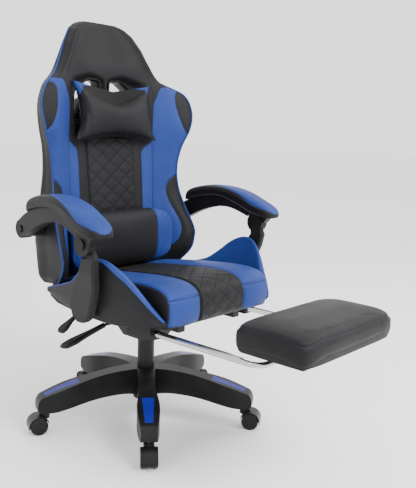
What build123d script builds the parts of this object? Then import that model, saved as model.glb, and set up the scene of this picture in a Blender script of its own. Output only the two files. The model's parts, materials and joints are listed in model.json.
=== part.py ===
from build123d import *
import os
from math import atan2, cos, degrees, radians, sin

# Racing-style office chair with a pull-out footrest.
# Millimetres, +Z up, the sitter faces -Y, the column axis is x = y = 0 and the
# floor is z = 0. "left" is the sitter's left, +X.

# ---------------------------------------------------------------- driving sizes
RUN = 0.05                      # radial clearance of a running fit
SEAT_FIT = 0.02                 # radial clearance of a part seated in its socket

ARM_COUNT = 5
BASE_TURN = -40.66              # direction of the first arm, from -Y towards +X
CASTER_RADIUS = 305             # column axis to caster stem
ARM_TIP_Z = 63                  # underside of an arm at its tip
HUB_R, HUB_LOW, HUB_TOP = 37, 67, 160

WHEEL_R, WHEEL_W = 25, 16
WHEEL_GAP = 7                   # middle plane of a caster to a wheel's inner face
TRAIL = 18                      # stem axis to wheel axle
STEM_R, AXLE_R = 5.5, 3

TUBE_R, TUBE_BORE_R, TUBE_TOP = 25, 18, 248
PISTON_R, CYLINDER_R, CHAMBER_R = 5, 14, 11
CYLINDER_LOW, CYLINDER_TOP = 92, 300

PLATE_Z = 344                   # top face of the tilt plate
PAN_LOW, PAN_TOP = 372, 384     # seat board
CUSHION_HALF = 197

RAIL_X, RAIL_Z, RAIL_R = 190, 352, 7
RAIL_REAR, BAR_Y, BEND_R = -140, -574, 31

RECLINE_Y, RECLINE_Z = 158, 392         # backrest hinge

ARM_REAR = (163, 586)                   # armrest pivot on the backrest, (y, z)
ARM_FRONT = (-142, 585)                 # armrest pivot on the post
POST_FOOT = (-82, 388)                  # post pivot on the seat
ARM_REAR_X, ARM_FRONT_X, POST_FOOT_X = 306, 334, 296
PAD_HALF_WIDTH, PAD_INSET = 32, 8         # armrest pad, set inwards on its beam
OPEN_PIVOT = 3.4                        # slack of the open pivot between arm and post

PARTS = {}


def keep(name, shape, colour):
    """Register one named piece with its display colour."""
    shape.label = name
    shape.color = colour
    PARTS[name] = shape


BLACK, BLUE, STEEL, CHROME, DARK = (
    Color(0.08, 0.08, 0.09), Color(0.12, 0.25, 0.72), Color(0.35, 0.35, 0.38),
    Color(0.8, 0.8, 0.82), Color(0.16, 0.16, 0.17))


# ---------------------------------------------------------------- small helpers
def rod(radius, start, end):
    """Cylinder of the given radius from one point to another."""
    run = Vector(*end) - Vector(*start)
    plane = Plane(origin=start, z_dir=run)
    return Solid.make_cylinder(radius, run.length, plane)


def tube(outer, inner, start, end):
    """Hollow cylinder between two points."""
    return rod(outer, start, end) - rod(inner, start, end)


def box(low, high):
    """Box between its lowest and highest corners."""
    size = [b - a for a, b in zip(low, high)]
    return Pos(*low) * Box(*size, align=(Align.MIN, Align.MIN, Align.MIN))


def skin(sections):
    """Closed solid with flat-sided walls through a list of polygons."""
    return Solid.make_loft([Wire.make_polygon(s, close=True) for s in sections], True)


def side_plate(outline, x_low, x_high):
    """Plate with a (y, z) outline between two x planes."""
    face = Plane.YZ * make_face(outline)
    return Pos(x_low, 0, 0) * extrude(face, amount=x_high - x_low)


def mirrored(shape):
    """The same piece on the sitter's right."""
    return mirror(shape, about=Plane.YZ)


def both_sides(name, shape, colour):
    """Register a left piece and its mirrored right piece."""
    keep(name + "_left", shape, colour)
    keep(name + "_right", mirrored(shape), colour)


def arm_angle(index):
    """Angle of one base arm about +Z, measured from -Y."""
    return BASE_TURN + index * 360 / ARM_COUNT


# ---------------------------------------------------------------- five-arm base
def base_arm():
    """One arm, lying along -Y: an arched side view cut by a bulged plan view."""
    top = Spline((20, 162), (90, 161), (150, 153), (210, 141), (265, 126), (314, 110))
    nose = Spline((314, 110), (324, 98), (327, 84), (326, 70))
    under = Spline((326, 70), (290, ARM_TIP_Z), (245, 70), (190, 80), (130, 87), (70, 89), (20, 78))
    close = Line((20, 78), (20, 162))
    side = Pos(-40, 0, 0) * extrude(Plane.YZ * make_face([top, nose, under, close]), amount=80)
    right = Spline((28, 15), (23, 110), (23, 165), (31, 240), (27, 290), (21, 330))
    tip = Line((21, 330), (-21, 330))
    left = Spline((-21, 330), (-27, 290), (-31, 240), (-23, 165), (-23, 110), (-28, 15))
    plan = extrude(make_face([right, tip, left, Line((-28, 15), (28, 15))]), amount=200)
    return Rot(0, 0, 180) * (side & plan)


def insert_outline(margin):
    """Trapezoid of a coloured insert in plan, on the arm that lies along -Y."""
    inner, outer = 206 - margin, 304 + margin
    wide, narrow = 17 + margin, 11 + margin
    corners = [(wide, -inner), (narrow, -outer), (-narrow, -outer), (-wide, -inner)]
    return make_face(Polyline(*corners, close=True))


def star_base():
    """The moulded star: hub, five arms, a tapered column socket and stem bores."""
    hub = Pos(0, 0, HUB_LOW) * Cylinder(HUB_R, HUB_TOP - HUB_LOW, align=(Align.CENTER, Align.CENTER, Align.MIN))
    arm = base_arm()
    pocket = extrude(insert_outline(0.1), amount=300) & arm
    floor = Pos(0, 0, -3) * arm
    arm = arm - (pocket - floor)
    arm = arm - rod(STEM_R, (0, -CASTER_RADIUS, 40), (0, -CASTER_RADIUS, 97))
    star = hub
    for index in range(ARM_COUNT):
        star = star + Rot(0, 0, arm_angle(index)) * arm
    return star - rod(TUBE_R + SEAT_FIT, (0, 0, 0), (0, 0, 200))


def arm_inserts():
    """Five coloured trapezoids set 3 mm deep into the arms' top faces."""
    arm = base_arm()
    insert = (extrude(insert_outline(0), amount=300) & arm) - Pos(0, 0, -2.9) * arm
    return Compound(children=[Rot(0, 0, arm_angle(i)) * insert.solids()[0] for i in range(ARM_COUNT)])


# ---------------------------------------------------------------- casters
def caster_hood():
    """Central web, curved mudguard and stem boss of one caster, trailing to -Y."""
    axle_y, axle_z = -TRAIL, WHEEL_R
    hood_r, hood_w = WHEEL_R + 4.5, WHEEL_GAP + WHEEL_W
    outer = rod(hood_r, (-hood_w, axle_y, axle_z), (hood_w, axle_y, axle_z))
    inner = rod(WHEEL_R + 1.6, (-hood_w, axle_y, axle_z), (hood_w, axle_y, axle_z))
    web_w = WHEEL_GAP - 0.6
    web = rod(WHEEL_R - 2, (-web_w, axle_y, axle_z), (web_w, axle_y, axle_z))
    guard = outer - inner + (outer & box((-web_w, -60, 12), (web_w, 30, 60)))
    guard = guard - box((-40, axle_y, -10), (40, 40, 33)) - box((-40, -80, -10), (40, axle_y, 20))
    neck = rod(15, (0, 0, 45), (0, 0, ARM_TIP_Z - 1.5)) - inner
    boss = rod(web_w + 0.3, (0, 0, 30), (0, 0, 50)) & box((-web_w, -20, 20), (web_w, 20, 60))
    hood = guard + neck + web + boss
    hood = hood - rod(AXLE_R + SEAT_FIT, (-30, axle_y, axle_z), (30, axle_y, axle_z))
    return hood - rod(STEM_R - RUN + SEAT_FIT, (0, 0, 44), (0, 0, 80))


def caster_wheels():
    """Two domed wheels on one axle, each with a blind bore."""
    wheels = []
    for side in (-1, 1):
        blank = Cylinder(WHEEL_R, WHEEL_W, rotation=(0, 90, 0))
        blank = fillet(blank.edges().filter_by(GeomType.CIRCLE), 3)
        wheel = Pos(side * (WHEEL_GAP + WHEEL_W / 2), -TRAIL, WHEEL_R) * blank
        bore = rod(AXLE_R + RUN, (0, -TRAIL, WHEEL_R), (side * (WHEEL_GAP + WHEEL_W - 2.5), -TRAIL, WHEEL_R))
        wheels.append((wheel - bore).solids()[0])
    return Compound(children=wheels)


def add_casters():
    """Five casters under the arm tips, each trailing outwards."""
    axle_half = WHEEL_GAP + WHEEL_W - 3
    pieces = {
        "hood": (caster_hood(), DARK),
        "stem": (rod(STEM_R - RUN, (0, 0, 44), (0, 0, 95)), STEEL),
        "axle": (rod(AXLE_R, (-axle_half, -TRAIL, WHEEL_R), (axle_half, -TRAIL, WHEEL_R)), STEEL),
        "wheels": (caster_wheels(), BLACK),
    }
    for index in range(ARM_COUNT):
        place = Rot(0, 0, arm_angle(index)) * Pos(0, -CASTER_RADIUS, 0)
        for name, (shape, colour) in pieces.items():
            keep(f"caster_{index + 1}_{name}", place * shape, colour)


# ---------------------------------------------------------------- gas column
def add_column():
    """Outer tube, guide bush, thrust bearing, piston rod, cylinder and release pin."""
    low = HUB_LOW
    outer = tube(TUBE_R, TUBE_BORE_R, (0, 0, low), (0, 0, TUBE_TOP))
    outer = outer + tube(TUBE_BORE_R + 1, PISTON_R + RUN, (0, 0, low), (0, 0, low + 4))
    keep("column_tube", outer, BLACK)
    keep("guide_bush", tube(TUBE_BORE_R - SEAT_FIT, CYLINDER_R + RUN, (0, 0, 150), (0, 0, TUBE_TOP)), DARK)
    keep("thrust_bearing", tube(13, PISTON_R + RUN, (0, 0, low + 4), (0, 0, low + 8)), STEEL)
    piston = rod(PISTON_R, (0, 0, low - 6), (0, 0, 200)) + rod(9, (0, 0, low + 8.2), (0, 0, low + 13))
    piston = piston + rod(CHAMBER_R - RUN, (0, 0, 200), (0, 0, 212))
    keep("piston_rod", piston, STEEL)
    cylinder = rod(CYLINDER_R, (0, 0, CYLINDER_LOW), (0, 0, CYLINDER_TOP))
    cylinder = cylinder - rod(CHAMBER_R, (0, 0, CYLINDER_LOW + 8), (0, 0, CYLINDER_TOP - 12))
    cylinder = cylinder - rod(PISTON_R + RUN, (0, 0, CYLINDER_LOW - 1), (0, 0, CYLINDER_LOW + 9))
    cylinder = cylinder - rod(4 + RUN, (0, 0, CYLINDER_TOP - 13), (0, 0, CYLINDER_TOP + 1))
    keep("gas_cylinder", cylinder, BLACK)
    keep("release_pin", rod(4, (0, 0, CYLINDER_TOP - 10), (0, 0, CYLINDER_TOP + 8)), STEEL)


# ---------------------------------------------------------------- tilt plate and levers
PLATE_HALF_X, PLATE_FRONT, PLATE_REAR = 90, -118, 128
LEVER_PIVOT_X, LEVER_Z = -55, 318
HEIGHT_LEVER_Y, RECLINE_LEVER_Y = 0, 40


def rectangle(half_x, front, rear, height):
    """Corners of a level rectangle, for a loft."""
    return [(-half_x, front, height), (half_x, front, height), (half_x, rear, height), (-half_x, rear, height)]


def tilt_plate():
    """Pressed-steel box with a flange, a cylinder socket, a lever slot, two pivot ears and bolt holes."""
    outer = skin([rectangle(38, -48, 60, 252), rectangle(70, -100, 118, PLATE_Z - 3)])
    inner = skin([rectangle(35, -45, 57, 256), rectangle(67, -97, 115, PLATE_Z - 2.9)])
    flange = box((-PLATE_HALF_X, PLATE_FRONT, PLATE_Z - 3), (PLATE_HALF_X, PLATE_REAR, PLATE_Z))
    plate = outer - inner + flange
    plate = plate + rod(20, (0, 0, 252), (0, 0, 296))
    plate = plate - rod(CYLINDER_R + SEAT_FIT, (0, 0, 240), (0, 0, 299))
    plate = plate - box((-90, HEIGHT_LEVER_Y - 12, LEVER_Z - 16), (-50, HEIGHT_LEVER_Y + 12, LEVER_Z + 16))
    for middle in (HEIGHT_LEVER_Y - 18, HEIGHT_LEVER_Y + 18):
        low = (LEVER_PIVOT_X - 6, middle - 1.5, LEVER_Z - 7)
        plate = plate + box(low, (LEVER_PIVOT_X + 6, middle + 1.5, PLATE_Z - 3))
    bore_front = (LEVER_PIVOT_X, HEIGHT_LEVER_Y - 30, LEVER_Z)
    bore_rear = (LEVER_PIVOT_X, HEIGHT_LEVER_Y + 30, LEVER_Z)
    plate = plate - rod(3 + SEAT_FIT, bore_front, bore_rear)
    for x, y in plate_bolts():
        plate = plate - rod(4.1, (x, y, PLATE_Z - 10), (x, y, PLATE_Z + 10))
    return plate


def lever_paddle(root, tip, width, thick):
    """Flat tapered paddle that droops from its root to its tip, along -X."""
    run = Vector(*tip) - Vector(*root)
    sections = []
    shape = [(0.0, 0.42, 0.8), (0.35, 0.5, 0.9), (0.75, 1.0, 1.0), (0.93, 0.92, 0.8), (1.0, 0.6, 0.4)]
    for along, wide, deep in shape:
        middle = Vector(*root) + run * along
        half, rise = width / 2 * wide, thick / 2 * deep
        offsets = [(-half, -rise * 0.5), (-half * 0.6, -rise), (half * 0.6, -rise), (half, -rise * 0.5),
                   (half, rise * 0.5), (half * 0.6, rise), (-half * 0.6, rise), (-half, rise * 0.5)]
        sections.append([(middle.X, middle.Y + dy, middle.Z + dz) for dy, dz in offsets])
    return skin(sections)


def add_levers():
    """Height lever through the tilt plate, recline lever on the hinge bracket."""
    y = HEIGHT_LEVER_Y
    shaft = rod(4, (-30, y, LEVER_Z), (-172, y, LEVER_Z))
    shaft = shaft + rod(6, (LEVER_PIVOT_X, y - 9, LEVER_Z), (LEVER_PIVOT_X, y + 9, LEVER_Z))
    finger = box((-34, y - 6, CYLINDER_TOP + 8.4), (3, y + 6, LEVER_Z + 2))
    height = shaft + finger + lever_paddle((-160, y, LEVER_Z), (-298, y + 6, 282), 36, 15)
    height = height - rod(3 + RUN, (LEVER_PIVOT_X, y - 20, LEVER_Z), (LEVER_PIVOT_X, y + 20, LEVER_Z))
    keep("height_lever", height, DARK)
    keep("lever_pin", rod(3, (LEVER_PIVOT_X, y - 22, LEVER_Z), (LEVER_PIVOT_X, y + 22, LEVER_Z)), STEEL)
    y = RECLINE_LEVER_Y
    hub = rod(9, (-222, y - 10, 352), (-222, y + 10, 352))
    recline = hub + lever_paddle((-224, y, 351), (-278, y + 4, 312), 34, 14)
    recline = recline - rod(3.5 + RUN, (-222, y - 20, 352), (-222, y + 20, 352))
    keep("recline_lever", recline, DARK)


# ---------------------------------------------------------------- seat
def seat_frame():
    """Welded rectangular tubes between the tilt plate and the seat board."""
    frame = box((-122, -255, PLATE_Z), (-98, 124, PAN_LOW)) + box((98, -255, PLATE_Z), (122, 124, PAN_LOW))
    for front in (-205, 92):
        frame = frame + box((-165, front, PLATE_Z + 2), (165, front + 26, PAN_LOW))
    for side in (-1, 1):
        low, high = sorted((side * 98, side * 80))
        for front in (-110, 96):
            frame = frame + box((low, front, PLATE_Z), (high, front + 18, PLATE_Z + 4))
    for bolt_x, bolt_y in plate_bolts():
        frame = frame - rod(4.1, (bolt_x, bolt_y, PLATE_Z - 20), (bolt_x, bolt_y, PLATE_Z + 8))
    return frame


def plate_bolts():
    """The four (x, y) places where the tilt plate is bolted up."""
    return [(x, y) for x in (-84.5, 84.5) for y in (-101, 105)]


def add_plate_bolts():
    """Four identical bolts, kept together as one group."""
    bolts = []
    for x, y in plate_bolts():
        bolt = rod(4, (x, y, PLATE_Z - 6), (x, y, PLATE_Z + 7))
        bolt = bolt + rod(6.5, (x, y, PLATE_Z - 8), (x, y, PLATE_Z - 3.02))
        bolts.append(bolt.solids()[0])
    keep("plate_bolts", Compound(children=bolts), STEEL)


def seat_cushion():
    """Foam seat with a rounded front roll, flat underneath."""
    rear_y, rear_z = 138, 430
    crown = [(-280, 464), (-240, 474), (-170, 475), (-95, 470)]
    slope = [(10, 460), (90, 447), (118, 438), (rear_y, rear_z)]
    top = Spline(*crown, *slope)
    roll = ThreePointArc((-280, 464), (-298, 448), (-305, 418))
    front = Line((-305, 418), (-300, PAN_TOP + 4))
    under = Polyline((-300, PAN_TOP + 4), (-285, PAN_TOP + 0.2), (rear_y, PAN_TOP + 0.2), (rear_y, rear_z))
    return side_plate([top, roll, front, under], -CUSHION_HALF, CUSHION_HALF)


def wing_section(y, top_x, top_z, low_x, low_z, thick):
    """One cross-section of a seat wing, leaning outwards from bottom to top."""
    inner_low = max(CUSHION_HALF + 1.5, low_x - thick)
    waist_z = low_z + 0.45 * (top_z - low_z)
    outer_waist = low_x + 0.62 * (top_x - low_x) + 3
    inner_waist = max(CUSHION_HALF + 2, outer_waist - thick)
    return [(inner_low, y, low_z + 3), (low_x - 8, y, low_z), (low_x, y, low_z + 5),
            (outer_waist, y, waist_z), (top_x, y, top_z - 6), (top_x - 5, y, top_z),
            (top_x - 12, y, top_z - 4), (inner_waist, y, waist_z)]


def seat_wing():
    """Padded side wing: narrow nose, high peak beside the thigh, low tail."""
    table = [(-291, 212, 400, 209, 386, 8), (-276, 224, 418, 216, 382, 16), (-241, 249, 464, 230, 375, 28),
             (-204, 272, 511, 239, 370, 34), (-172, 285, 534, 245, 366, 36), (-145, 292, 542, 249, 363, 36),
             (-110, 293, 538, 252, 362, 36), (-50, 284, 498, 257, 366, 34), (-8, 272, 464, 258, 371, 32),
             (45, 261, 445, 255, 378, 30), (100, 251, 428, 248, 386, 26), (165, 238, 414, 237, 396, 18)]
    wing = skin([wing_section(*row) for row in table])
    return wing - rod(15, (180, *POST_FOOT), (330, *POST_FOOT))


def foot_bracket():
    """Steel arm bolted under the seat board that carries one post's lower pivot."""
    y, z = POST_FOOT
    arm = box((206, y - 14, z - 22), (214, y + 14, z + 12)) + box((168, y - 14, 364), (214, y + 14, PAN_LOW - 0.2))
    boss = rod(13, (206, y, z), (POST_FOOT_X - 13.5, y, z))
    shaft = rod(5, (206, y, z), (POST_FOOT_X + 13, y, z))
    return arm + boss + shaft


def rail_guide():
    """Nylon block under the seat board with a bore and a slot for one rail."""
    block = box((170, -238, 338), (206, -150, PAN_LOW - 0.2))
    bore = rod(RAIL_R + RUN, (RAIL_X, -300, RAIL_Z), (RAIL_X, -100, RAIL_Z))
    slot = box((STRIP_X[0] - 0.3, -300, STRIP_Z[0] - 0.3), (RAIL_X - 4, -100, STRIP_Z[1] + 0.3))
    return block - bore - slot


# ---------------------------------------------------------------- footrest
STRIP_X, STRIP_Z = (177, 184), (346.5, 357.5)
PAD_FRONT, PAD_BACK, PAD_HALF = -697, -492, 194
SADDLE_X = 96


def footrest_frame():
    """Chromed U of round tube with its cross bar under the pad."""
    x, z = RAIL_X, RAIL_Z
    path = FilletPolyline((x, RAIL_REAR, z), (x, BAR_Y, z), (-x, BAR_Y, z), (-x, RAIL_REAR, z), radius=BEND_R)
    section = Plane(origin=(x, RAIL_REAR, z), z_dir=(0, -1, 0)) * Circle(RAIL_R)
    return sweep(section, path=path)


def footrest_strip():
    """Flat chromed bar welded along the inside of one rail."""
    return box((STRIP_X[0], -520, STRIP_Z[0]), (STRIP_X[1], RAIL_REAR - 4, STRIP_Z[1]))


def footrest_saddles():
    """Two hinge saddles that clip round the cross bar and carry the board."""
    saddles = []
    for side in (-1, 1):
        x = side * SADDLE_X
        ring = rod(RAIL_R + 4, (x - 16, BAR_Y, RAIL_Z), (x + 16, BAR_Y, RAIL_Z))
        ring = ring + box((x - 16, BAR_Y - 16, RAIL_Z + 4), (x + 16, BAR_Y + 16, 366))
        ring = ring - rod(RAIL_R + RUN, (x - 20, BAR_Y, RAIL_Z), (x + 20, BAR_Y, RAIL_Z))
        saddles.append(ring.solids()[0])
    return Compound(children=saddles)


def add_footrest():
    """Sliding U frame with a padded board that flips over its cross bar."""
    strip = footrest_strip()
    keep("footrest_frame", footrest_frame() + strip + mirrored(strip), CHROME)
    keep("footrest_saddles", footrest_saddles(), DARK)
    keep("footrest_board", box((-176, PAD_FRONT + 18, 366.2), (176, PAD_BACK - 14, 372)), DARK)
    pad = box((-PAD_HALF, PAD_FRONT, 372.2), (PAD_HALF, PAD_BACK, 441))
    pad = fillet(pad.edges().filter_by(Axis.Z), 22)
    pad = fillet(pad.faces().sort_by(Axis.Z)[-1].edges(), 14)
    keep("footrest_pad", pad, BLACK)
    both_sides("rail_guide", rail_guide(), DARK)


# ---------------------------------------------------------------- backrest
def shell_section(z, row):
    """One level slice of the padded shell, from its right rear round to its left rear."""
    centre, recess_x, recess_y, crest_x, crest_y, edge_x, edge_y, rear_x, rear_y, rear_mid = row
    front = [(recess_x * 0.55, centre), (recess_x, recess_y), (crest_x, crest_y), (edge_x, edge_y)]
    back = [(rear_x, rear_y), (rear_x * 0.62, rear_mid)]
    half = front + back
    ring = [(-px, py, z) for px, py in half]
    return [(px, py, z) for px, py in reversed(half)] + ring


SHELL = [
    (440, (146, 165, 140, 212, 112, 236, 100, 224, 165, 200)),
    (483, (149, 165, 142, 225, 80, 251, 64, 235, 192, 215)),
    (518, (151, 165, 145, 232, 72, 260, 58, 240, 202, 222)),
    (550, (152, 162, 146, 236, 76, 264, 63, 243, 208, 226)),
    (611, (157, 160, 148, 228, 102, 255, 93, 236, 203, 222)),
    (674, (163, 158, 150, 215, 126, 244, 117, 226, 193, 215)),
    (741, (171, 158, 152, 208, 134, 241, 125, 222, 188, 213)),
    (806, (179, 160, 155, 212, 128, 253, 119, 232, 190, 220)),
    (870, (184, 160, 156, 228, 112, 278, 104, 252, 185, 228)),
    (925, (187, 162, 153, 232, 113, 286, 107, 258, 176, 232)),
    (975, (189, 162, 155, 215, 128, 262, 120, 240, 176, 236)),
    (1015, (191, 150, 166, 178, 160, 196, 160, 184, 206, 240)),
    (1060, (196, 130, 178, 155, 170, 167, 172, 156, 214, 243)),
    (1105, (204, 108, 190, 130, 182, 142, 186, 132, 222, 247)),
    (1145, (216, 78, 206, 95, 200, 105, 204, 97, 232, 250)),
    (1178, (232, 34, 228, 42, 226, 48, 228, 44, 240, 251)),
]
CUTOUT = [(17, 962), (20, 1001), (62, 1004), (112, 968), (134, 925), (126, 902), (104, 906), (80, 950)]


def back_shell():
    """Foam-covered shell: lumbar bolsters, waist, shoulders, head and two cut-outs."""
    shell = skin([shell_section(z, row) for z, row in SHELL])
    hole = extrude(Plane.XZ * make_face(Polyline(*CUTOUT, close=True)), amount=-400)
    return shell - hole - mirrored(hole)


def back_frame():
    """Steel tube ladder inside the shell, with a hinge plate at each foot."""
    frame = None
    for side in (-1, 1):
        low, high = sorted((side * 198, side * 204))
        plate = box((low, RECLINE_Y - 24, RECLINE_Z - 20), (high, RECLINE_Y + 24, 520))
        post = rod(9, (side * 196, 178, 470), (side * 196, 184, 900))
        foot = plate + post
        frame = foot if frame is None else frame + foot
    for height, y in ((500, 183), (700, 186), (880, 188)):
        frame = frame + rod(8, (-196, y, height), (196, y, height))
    for side in (-1, 1):
        frame = frame - rod(9 + RUN, (side * 190, RECLINE_Y, RECLINE_Z), (side * 220, RECLINE_Y, RECLINE_Z))
    return frame


def recline_bracket():
    """Seat-side hinge plate with the hinge stud and the lever's bearing ear."""
    outline = Polyline((-20, 366), (-20, 386), (100, 398), (132, 412), (158, 418), (184, 406),
                       (184, 378), (150, 362), (60, 352), (20, 352), close=True)
    plate = side_plate([outline], 206, 211)
    stud = rod(9, (196, RECLINE_Y, RECLINE_Z), (206, RECLINE_Y, RECLINE_Z))
    shelf = box((166, 30, 363.5), (211, 118, PAN_LOW - 0.2))
    return plate + stud + shelf


def lumbar_pillow():
    """Bolster-shaped pillow: a fat middle roll and thinner ends."""
    half = [(90, 112, 36, 87), (150, 107, 36, 80), (202, 84, 12, 60)]
    table = [(-x, *rest) for x, *rest in reversed(half)] + half
    angles = [radians(a) for a in range(15, 375, 30)]
    return skin([[(x, y + deep * cos(a), 538 + tall * sin(a)) for a in angles] for x, y, deep, tall in table])


def head_pillow():
    """Pillow with four drawn-out corners and a pinched waist."""
    table = [(-160, 8, 78, 150), (-146, 14, 80, 148), (-80, 30, 72, 146), (0, 34, 66, 146),
             (80, 30, 72, 146), (146, 14, 80, 148), (160, 8, 78, 150)]
    sections = []
    for x, deep, tall, y in table:
        corners = [(-deep, -tall * 0.5), (-deep, tall * 0.5), (-deep * 0.4, tall), (deep * 0.4, tall),
                   (deep, tall * 0.5), (deep, -tall * 0.5), (deep * 0.4, -tall), (-deep * 0.4, -tall)]
        sections.append([(x, y + dy, 908 + dz) for dy, dz in corners])
    return skin(sections)


def add_back():
    """Backrest pieces, which all recline together."""
    shell = back_shell()
    frame = back_frame()
    keep("back_frame", frame, STEEL)
    keep("back_shell", shell - frame, BLACK)
    keep("lumbar_pillow", lumbar_pillow() - shell, BLACK)
    keep("head_pillow", head_pillow() - shell, BLACK)


# ---------------------------------------------------------------- armrests
def splay():
    """Turn about +Z that carries the armrest's front end outwards."""
    return degrees(atan2(ARM_FRONT_X - ARM_REAR_X, ARM_REAR[0] - ARM_FRONT[0]))


def splayed(shape):
    """Place a piece drawn about x = 0 along the splayed line of the left armrest."""
    return Pos(ARM_REAR_X, ARM_REAR[0], 0) * Rot(0, 0, splay()) * Pos(0, -ARM_REAR[0], 0) * shape


def arm_beam():
    """Curved armrest beam from the rear eye over to the front eye."""
    ry, rz = ARM_REAR
    fy, fz = ARM_FRONT
    top = Spline((ry + 6, rz + 25), (128, 634), (60, 653), (0, 659), (-60, 650), (-120, 630), (-192, 611))
    under = Spline((fy + 20, fz + 14), (-90, 612), (-40, 625), (20, 620), (80, 600), (130, 575), (ry - 6, rz - 25))
    nose = Polyline((-192, 611), (-186, 600), (fy - 24, fz - 12), (fy + 20, fz + 14))
    heel = Line((ry - 6, rz - 25), (ry + 6, rz + 25))
    beam = splayed(side_plate([top, nose, under, heel], -14, 14))
    beam = beam + rod(26, (ARM_REAR_X - 13, ry, rz), (ARM_REAR_X + 13, ry, rz))
    beam = beam + rod(29, (ARM_FRONT_X + 0.5, fy, fz), (ARM_FRONT_X + 13, fy, fz))
    beam = beam - rod(33, (ARM_FRONT_X - 40, fy, fz), (ARM_FRONT_X + 0.5, fy, fz))
    beam = beam - rod(5 + RUN, (ARM_REAR_X - 40, ry, rz), (ARM_REAR_X + 40, ry, rz))
    beam = beam - rod(40, (ARM_REAR_X - 40, ry, rz), (ARM_REAR_X - 13, ry, rz))
    beam = beam - rod(12, (ARM_REAR_X + 13, ry, rz), (ARM_REAR_X + 40, ry, rz))
    beam = beam - rod(33, (ARM_FRONT_X + 13, fy, fz), (ARM_FRONT_X + 40, fy, fz))
    return beam - rod(5 + OPEN_PIVOT, (ARM_FRONT_X - 40, fy, fz), (ARM_FRONT_X + 40, fy, fz))


def arm_pad():
    """Padded top of an armrest, highest at its middle and drooping at the front."""
    top = Spline((122, 650), (114, 674), (60, 692), (0, 699), (-60, 691), (-120, 673), (-180, 651), (-212, 636))
    nose = Spline((-212, 636), (-218, 626), (-210, 617), (-196, 613))
    under = Spline((-196, 613), (-120, 630.5), (-60, 650.5), (0, 659.5), (60, 653.5), (122, 637))
    back = Line((122, 637), (122, 650))
    return splayed(side_plate([top, nose, under, back], -PAD_INSET - PAD_HALF_WIDTH, -PAD_INSET + PAD_HALF_WIDTH))


def arm_boss():
    """Pivot boss on the backrest's side, with the armrest's pivot bolt."""
    ry, rz = ARM_REAR
    boss = rod(24, (ARM_REAR_X - 76, ry, rz), (ARM_REAR_X - 13.5, ry, rz))
    bolt = rod(5, (ARM_REAR_X - 20, ry, rz), (ARM_REAR_X + 17, ry, rz))
    head = rod(10, (ARM_REAR_X + 13.5, ry, rz), (ARM_REAR_X + 18, ry, rz))
    return boss + bolt + head


def post_section(z, front, rear, x_mid, half):
    """One level slice of an armrest post, with bevelled corners."""
    bevel = 5
    return [(x_mid - half, front + bevel, z), (x_mid - half + bevel, front, z), (x_mid + half - bevel, front, z),
            (x_mid + half, front + bevel, z), (x_mid + half, rear - bevel, z), (x_mid + half - bevel, rear, z),
            (x_mid - half + bevel, rear, z), (x_mid - half, rear - bevel, z)]


def arm_post():
    """Leaning front post: narrow neck under the disc, wide foot beside the seat."""
    fy, fz = ARM_FRONT
    py, pz = POST_FOOT
    mid = ARM_FRONT_X - 6.5
    table = [(372, -96, -68, POST_FOOT_X, 12.5), (386, -116, -48, POST_FOOT_X, 12.5),
             (412, -130, -44, POST_FOOT_X + 4, 12.5), (470, -156, -76, POST_FOOT_X + 14, 12.5),
             (515, -170, -110, mid - 5, 12), (550, -176, -128, mid, 11), (578, -166, -122, mid, 6.4)]
    post = skin([post_section(*row) for row in table])
    disc = rod(29, (ARM_FRONT_X - 13, fy, fz), (ARM_FRONT_X, fy, fz))
    post = post + disc
    post = post + rod(5, (ARM_FRONT_X - 2, fy, fz), (ARM_FRONT_X + 18, fy, fz))
    post = post + rod(14, (ARM_FRONT_X + 13.5, fy, fz), (ARM_FRONT_X + 18, fy, fz))
    post = post - rod(5 + RUN, (POST_FOOT_X - 30, py, pz), (POST_FOOT_X + 13, py, pz))
    post = post - rod(13.5, (POST_FOOT_X - 60, py, pz), (POST_FOOT_X - 12.8, py, pz))
    relief = tube(36, 5, (ARM_FRONT_X, fy, fz), (ARM_FRONT_X + 13.4, fy, fz))
    return post - relief


def add_arms():
    """Armrests, posts and their fixed bosses, left and right."""
    shell = PARTS["back_shell"] + PARTS["back_frame"]
    beam = arm_beam()
    both_sides("arm_beam", beam, DARK)
    both_sides("arm_pad", arm_pad() - Pos(0, 0, 0.3) * beam, BLACK)
    both_sides("arm_boss", arm_boss() - shell, DARK)
    both_sides("arm_post", arm_post(), DARK)
    both_sides("foot_bracket", foot_bracket(), STEEL)


# ---------------------------------------------------------------- build
def add_seat():
    """Seat pieces that turn and rise together."""
    keep("tilt_plate", tilt_plate(), DARK)
    add_plate_bolts()
    add_levers()
    keep("seat_frame", seat_frame(), STEEL)
    keep("seat_board", box((-192, -284, PAN_LOW), (192, 126, PAN_TOP)), DARK)
    keep("seat_cushion", seat_cushion(), BLACK)
    both_sides("seat_wing", seat_wing(), BLUE)
    both_sides("recline_bracket", recline_bracket(), STEEL)


def main():
    keep("star_base", star_base(), BLACK)
    keep("arm_inserts", arm_inserts(), BLUE)
    add_casters()
    add_column()
    add_seat()
    add_footrest()
    add_back()
    add_arms()
    os.makedirs("parts", exist_ok=True)
    for name, shape in PARTS.items():
        export_step(shape, f"parts/{name}.step")
    print(len(PARTS), "nodes")


main()
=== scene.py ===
# %% [markdown]
# # A racing-style swivel chair
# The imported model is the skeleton: wheels, gas spring, levers, sliding rails and linked armrests are
# already in their true places. Everything upholstered is still a plain block in it, so this lesson
# replaces those blocks with sewn, padded surfaces, and then gives every part a finish of its own.

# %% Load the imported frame
import json
import bmesh
import bpy
import numpy as np
from mathutils import Matrix, Vector


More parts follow.
